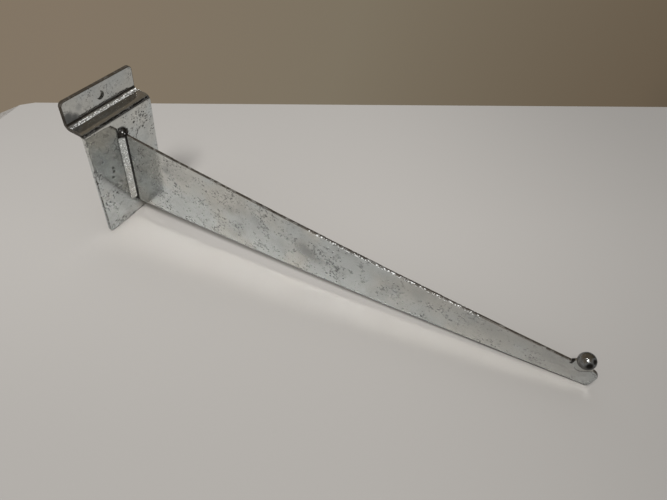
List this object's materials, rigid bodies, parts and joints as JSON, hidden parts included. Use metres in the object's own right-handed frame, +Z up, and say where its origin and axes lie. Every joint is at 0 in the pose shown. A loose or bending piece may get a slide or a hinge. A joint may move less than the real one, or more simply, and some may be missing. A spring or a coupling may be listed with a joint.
{
  "type": "slatwall shelf bracket",
  "caption": "Plated steel shelf bracket: a folded hook plate that hangs in a slatwall groove, with a tapered knife-edge arm welded to it and a ball at the tip to stop a shelf.",
  "frame": {"origin": "on the plate's back face, on the plate's centre line and level with the arm's top edge, where a shelf rests", "axes": "the panel is the plane Y = 0 and the arm reaches out along -Y; +X is to the right for someone who faces the panel; +Z is up"},
  "size_m": [0.056, 0.3315, 0.1015],
  "materials": {
    "plated_sheet": "worn bright plating over mild steel, with specks, pits and smudges",
    "plated_blade": "worn bright plating over mild steel, duller towards the tip, with specks, pits and smudges",
    "plated_ball": "bright plated steel ball",
    "plated_weld": "plated weld bead, slightly rough"
  },
  "bodies": {
    "root": {"hook_plate": "plated_sheet", "arm_blade": "plated_blade", "ball_stop": "plated_ball", "ball_weld": "plated_weld", "root_weld": "plated_weld"}
  },
  "joints": []
}
